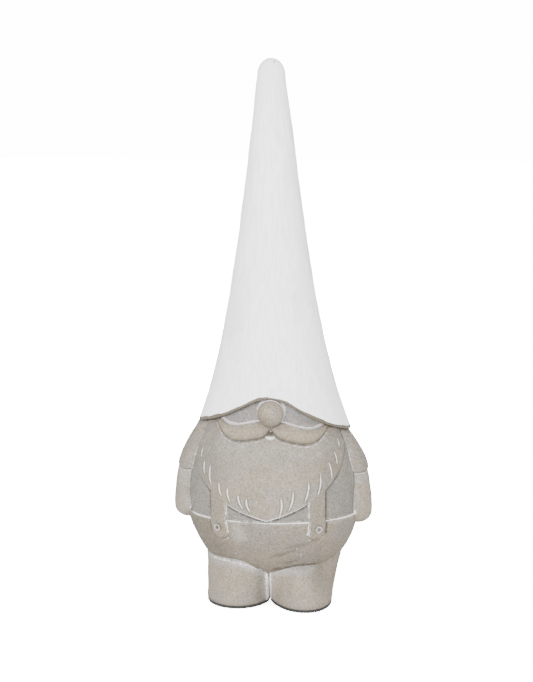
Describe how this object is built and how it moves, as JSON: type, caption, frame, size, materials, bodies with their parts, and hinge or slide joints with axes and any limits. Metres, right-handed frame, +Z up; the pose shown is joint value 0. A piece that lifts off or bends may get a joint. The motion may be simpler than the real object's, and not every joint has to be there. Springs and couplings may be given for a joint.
{
  "type": "garden gnome",
  "caption": "Cast cement garden gnome with a tall white conical hat, ball nose, moustache, full beard, braces and flat padded feet.",
  "frame": {"origin": "On the ground under the middle of the bounding box", "axes": "+Z up to the tip of the hat; -Y is the way the gnome faces; +X is the gnome's own left"},
  "size_m": [0.185, 0.1371, 0.4999],
  "materials": {
    "white_paint": "matte white paint over cast cement",
    "cement": "fine sandy grey cement",
    "worn_cement": "fine sandy cement, rubbed warmer on raised forms",
    "mortar": "rough set mortar",
    "rod_steel": "plain round bar",
    "pad_foam": "black foam rubber"
  },
  "bodies": {
    "root": {"hat_shell": "white_paint", "hat_rod": "rod_steel", "hat_mortar_ring": "mortar", "torso_shell": "cement", "trousers_shell": "cement", "left_leg": "cement", "right_leg": "cement", "left_foot_pad": "pad_foam", "right_foot_pad": "pad_foam", "left_sleeve": "cement", "right_sleeve": "cement", "left_forearm": "worn_cement", "right_forearm": "worn_cement", "beard": "cement", "left_moustache": "worn_cement", "right_moustache": "worn_cement", "nose": "worn_cement", "lower_lip": "worn_cement", "left_front_brace": "cement", "right_front_brace": "cement", "left_rear_brace": "cement", "right_rear_brace": "cement", "left_front_button": "worn_cement", "right_front_button": "worn_cement", "left_rear_button": "worn_cement", "right_rear_button": "worn_cement"}
  },
  "joints": []
}
